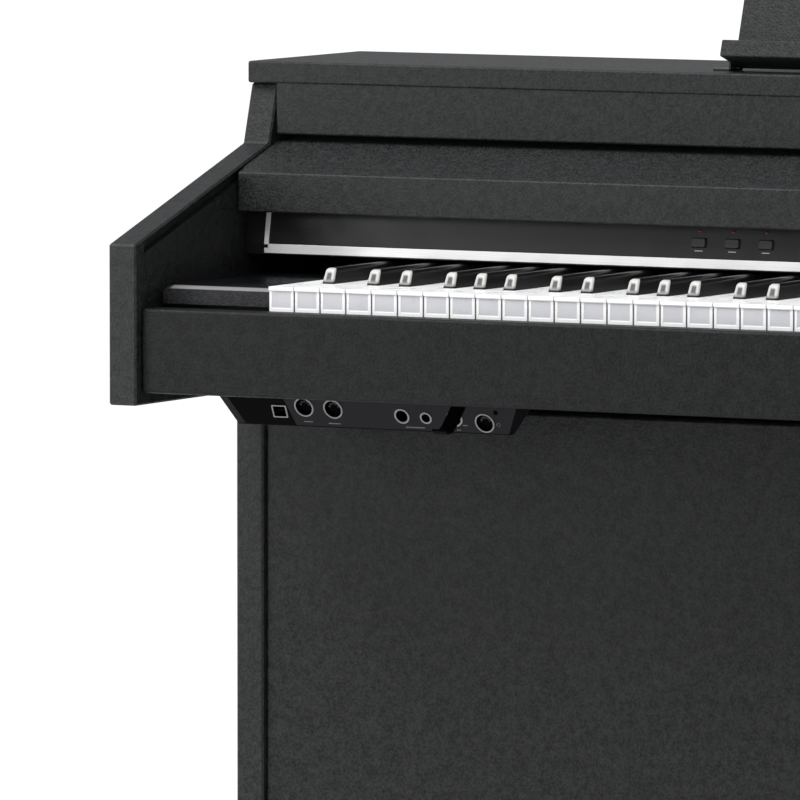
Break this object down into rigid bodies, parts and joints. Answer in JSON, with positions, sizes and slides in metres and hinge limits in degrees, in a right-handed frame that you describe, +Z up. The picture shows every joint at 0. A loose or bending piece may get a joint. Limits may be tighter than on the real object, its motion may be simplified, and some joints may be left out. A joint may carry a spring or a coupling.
{
  "type": "digital piano",
  "caption": "Black home digital piano on a two-legged stand, with forward arms, sliding key cover, music rest, pedals and a jack panel under the keybed.",
  "frame": {"origin": "on the floor, under the middle of the piano's bounding box", "axes": "+X towards the high keys, +Y towards the back, +Z up; the player sits at -Y"},
  "size_m": [1.499, 0.423, 1.0617],
  "materials": {
    "side_board": "satin black pebbled foil over fibreboard",
    "case_board": "satin black pebbled foil over fibreboard",
    "front_board": "satin black pebbled foil over fibreboard",
    "cheek": "satin black pebbled foil over fibreboard",
    "raw_board": "dark plain fibreboard",
    "control_face": "smooth black",
    "trim": "bright silver-white",
    "cover_board": "satin black foil over fibreboard",
    "rest_board": "satin black foil over fibreboard",
    "ivory": "smooth white",
    "ebony": "satin black",
    "chassis_steel": "zinc grey",
    "felt": "red wool felt",
    "circuit_board": "green board",
    "speaker_cone": "black paper and steel",
    "grille": "perforated black steel",
    "button": "dark grey rubbery plastic",
    "pedal_brass": "polished brass",
    "screw_foot": "black",
    "jack_plastic": "black, faintly blue",
    "socket": "pale grey ring round a black mouth",
    "hook_metal": "black",
    "foot_board": "satin black pebbled foil over fibreboard"
  },
  "bodies": {
    "cabinet": {"side_panel_left": "side_board", "side_panel_right": "side_board", "foot_left": "foot_board", "foot_right": "foot_board", "keybed": "raw_board", "key_slip": "case_board", "cheek_block_left": "cheek", "cheek_block_right": "cheek", "control_panel": "control_face", "panel_trim": "trim", "top_board": "case_board", "back_panel": "raw_board", "lower_front_board": "front_board", "key_chassis": "chassis_steel", "key_felt": "felt", "contact_board": "circuit_board", "main_board": "circuit_board", "speaker_left": "speaker_cone", "speaker_right": "speaker_cone", "speaker_grille_left": "grille", "speaker_grille_right": "grille", "pedal_box": "case_board", "jack_box": "jack_plastic", "jack_panel": "jack_plastic", "usb_socket": "socket", "midi_in_socket": "socket", "midi_out_socket": "socket", "line_out_right_socket": "socket", "line_out_left_socket": "socket", "headphone_socket": "socket", "pedal_socket": "socket", "headphone_hook": "hook_metal"},
    "key_a_0": {"key_a_0": "ivory"},
    "key_a_sharp_0": {"key_a_sharp_0": "ebony"},
    "key_b_0": {"key_b_0": "ivory"},
    "key_c_1": {"key_c_1": "ivory"},
    "key_c_sharp_1": {"key_c_sharp_1": "ebony"},
    "key_d_1": {"key_d_1": "ivory"},
    "key_d_sharp_1": {"key_d_sharp_1": "ebony"},
    "key_e_1": {"key_e_1": "ivory"},
    "key_f_1": {"key_f_1": "ivory"},
    "key_f_sharp_1": {"key_f_sharp_1": "ebony"},
    "key_g_1": {"key_g_1": "ivory"},
    "key_g_sharp_1": {"key_g_sharp_1": "ebony"},
    "key_a_1": {"key_a_1": "ivory"},
    "key_a_sharp_1": {"key_a_sharp_1": "ebony"},
    "key_b_1": {"key_b_1": "ivory"},
    "white_keys_c2_to_c8": {"white_keys_c2_to_c8": "ivory"},
    "black_keys_c2_to_c8": {"black_keys_c2_to_c8": "ebony"},
    "key_cover": {"key_cover": "cover_board"},
    "music_rest": {"music_rest": "rest_board"},
    "pedal_left": {"pedal_left": "pedal_brass"},
    "pedal_middle": {"pedal_middle": "pedal_brass"},
    "pedal_right": {"pedal_right": "pedal_brass"},
    "pedal_adjuster": {"pedal_adjuster": "screw_foot"},
    "power_button": {"power_button": "button"},
    "panel_button_1": {"panel_button_1": "button"},
    "panel_button_2": {"panel_button_2": "button"},
    "panel_button_3": {"panel_button_3": "button"},
    "volume_slider": {"volume_slider": "button"}
  },
  "joints": [
    {"name": "key_a_0_hinge", "type": "hinge", "parent": "cabinet", "child": "key_a_0", "pos_m": [0, 0.0365, 0.7193], "axis": [1, 0, 0], "range_deg": [0, 2.6], "stiffness_Nm_per_rad": 3, "springref_deg": -3.44},
    {"name": "key_a_sharp_0_hinge", "type": "hinge", "parent": "cabinet", "child": "key_a_sharp_0", "pos_m": [0, 0.0365, 0.7193], "axis": [1, 0, 0], "range_deg": [0, 2.6], "stiffness_Nm_per_rad": 3, "springref_deg": -3.44},
    {"name": "key_b_0_hinge", "type": "hinge", "parent": "cabinet", "child": "key_b_0", "pos_m": [0, 0.0365, 0.7193], "axis": [1, 0, 0], "range_deg": [0, 2.6], "stiffness_Nm_per_rad": 3, "springref_deg": -3.44},
    {"name": "key_c_1_hinge", "type": "hinge", "parent": "cabinet", "child": "key_c_1", "pos_m": [0, 0.0365, 0.7193], "axis": [1, 0, 0], "range_deg": [0, 2.6], "stiffness_Nm_per_rad": 3, "springref_deg": -3.44},
    {"name": "key_c_sharp_1_hinge", "type": "hinge", "parent": "cabinet", "child": "key_c_sharp_1", "pos_m": [0, 0.0365, 0.7193], "axis": [1, 0, 0], "range_deg": [0, 2.6], "stiffness_Nm_per_rad": 3, "springref_deg": -3.44},
    {"name": "key_d_1_hinge", "type": "hinge", "parent": "cabinet", "child": "key_d_1", "pos_m": [0, 0.0365, 0.7193], "axis": [1, 0, 0], "range_deg": [0, 2.6], "stiffness_Nm_per_rad": 3, "springref_deg": -3.44},
    {"name": "key_d_sharp_1_hinge", "type": "hinge", "parent": "cabinet", "child": "key_d_sharp_1", "pos_m": [0, 0.0365, 0.7193], "axis": [1, 0, 0], "range_deg": [0, 2.6], "stiffness_Nm_per_rad": 3, "springref_deg": -3.44},
    {"name": "key_e_1_hinge", "type": "hinge", "parent": "cabinet", "child": "key_e_1", "pos_m": [0, 0.0365, 0.7193], "axis": [1, 0, 0], "range_deg": [0, 2.6], "stiffness_Nm_per_rad": 3, "springref_deg": -3.44},
    {"name": "key_f_1_hinge", "type": "hinge", "parent": "cabinet", "child": "key_f_1", "pos_m": [0, 0.0365, 0.7193], "axis": [1, 0, 0], "range_deg": [0, 2.6], "stiffness_Nm_per_rad": 3, "springref_deg": -3.44},
    {"name": "key_f_sharp_1_hinge", "type": "hinge", "parent": "cabinet", "child": "key_f_sharp_1", "pos_m": [0, 0.0365, 0.7193], "axis": [1, 0, 0], "range_deg": [0, 2.6], "stiffness_Nm_per_rad": 3, "springref_deg": -3.44},
    {"name": "key_g_1_hinge", "type": "hinge", "parent": "cabinet", "child": "key_g_1", "pos_m": [0, 0.0365, 0.7193], "axis": [1, 0, 0], "range_deg": [0, 2.6], "stiffness_Nm_per_rad": 3, "springref_deg": -3.44},
    {"name": "key_g_sharp_1_hinge", "type": "hinge", "parent": "cabinet", "child": "key_g_sharp_1", "pos_m": [0, 0.0365, 0.7193], "axis": [1, 0, 0], "range_deg": [0, 2.6], "stiffness_Nm_per_rad": 3, "springref_deg": -3.44},
    {"name": "key_a_1_hinge", "type": "hinge", "parent": "cabinet", "child": "key_a_1", "pos_m": [0, 0.0365, 0.7193], "axis": [1, 0, 0], "range_deg": [0, 2.6], "stiffness_Nm_per_rad": 3, "springref_deg": -3.44},
    {"name": "key_a_sharp_1_hinge", "type": "hinge", "parent": "cabinet", "child": "key_a_sharp_1", "pos_m": [0, 0.0365, 0.7193], "axis": [1, 0, 0], "range_deg": [0, 2.6], "stiffness_Nm_per_rad": 3, "springref_deg": -3.44},
    {"name": "key_b_1_hinge", "type": "hinge", "parent": "cabinet", "child": "key_b_1", "pos_m": [0, 0.0365, 0.7193], "axis": [1, 0, 0], "range_deg": [0, 2.6], "stiffness_Nm_per_rad": 3, "springref_deg": -3.44},
    {"name": "white_keys_c2_to_c8_hinge", "type": "hinge", "parent": "cabinet", "child": "white_keys_c2_to_c8", "pos_m": [0, 0.0365, 0.7193], "axis": [1, 0, 0], "range_deg": [0, 2.6], "stiffness_Nm_per_rad": 129, "springref_deg": -3.44},
    {"name": "black_keys_c2_to_c8_hinge", "type": "hinge", "parent": "cabinet", "child": "black_keys_c2_to_c8", "pos_m": [0, 0.0365, 0.7193], "axis": [1, 0, 0], "range_deg": [0, 2.6], "stiffness_Nm_per_rad": 90, "springref_deg": -3.44},
    {"name": "key_cover_slide", "type": "slide", "parent": "cabinet", "child": "key_cover", "axis": [0, -0.9529, -0.3034], "range_m": [0, 0.171]},
    {"name": "music_rest_hinge", "type": "hinge", "parent": "cabinet", "child": "music_rest", "pos_m": [0, 0.0615, 0.9178], "axis": [1, 0, 0], "range_deg": [-72, 0]},
    {"name": "pedal_left_hinge", "type": "hinge", "parent": "cabinet", "child": "pedal_left", "pos_m": [-0.07, 0.0265, 0.09], "axis": [1, 0, 0], "range_deg": [0, 6], "stiffness_Nm_per_rad": 10, "springref_deg": -5.73},
    {"name": "pedal_middle_hinge", "type": "hinge", "parent": "cabinet", "child": "pedal_middle", "pos_m": [0, 0.0265, 0.09], "axis": [1, 0, 0], "range_deg": [0, 6], "stiffness_Nm_per_rad": 10, "springref_deg": -5.73},
    {"name": "pedal_right_hinge", "type": "hinge", "parent": "cabinet", "child": "pedal_right", "pos_m": [0.07, 0.0265, 0.09], "axis": [1, 0, 0], "range_deg": [0, 6], "stiffness_Nm_per_rad": 10, "springref_deg": -5.73},
    {"name": "pedal_adjuster_turn", "type": "hinge", "parent": "cabinet", "child": "pedal_adjuster", "pos_m": [0, -0.0185, 0.03], "axis": [0, 0, 1], "continuous": true},
    {"name": "power_button_press", "type": "slide", "parent": "cabinet", "child": "power_button", "axis": [0, 0.9864, -0.1644], "range_m": [0, 0.0012], "stiffness_N_per_m": 400, "springref_m": -0.002},
    {"name": "panel_button_1_press", "type": "slide", "parent": "cabinet", "child": "panel_button_1", "axis": [0, 0.9864, -0.1644], "range_m": [0, 0.0012], "stiffness_N_per_m": 400, "springref_m": -0.002},
    {"name": "panel_button_2_press", "type": "slide", "parent": "cabinet", "child": "panel_button_2", "axis": [0, 0.9864, -0.1644], "range_m": [0, 0.0012], "stiffness_N_per_m": 400, "springref_m": -0.002},
    {"name": "panel_button_3_press", "type": "slide", "parent": "cabinet", "child": "panel_button_3", "axis": [0, 0.9864, -0.1644], "range_m": [0, 0.0012], "stiffness_N_per_m": 400, "springref_m": -0.002},
    {"name": "volume_slide", "type": "slide", "parent": "cabinet", "child": "volume_slider", "axis": [1, 0, 0], "range_m": [0, 0.04]}
  ]
}
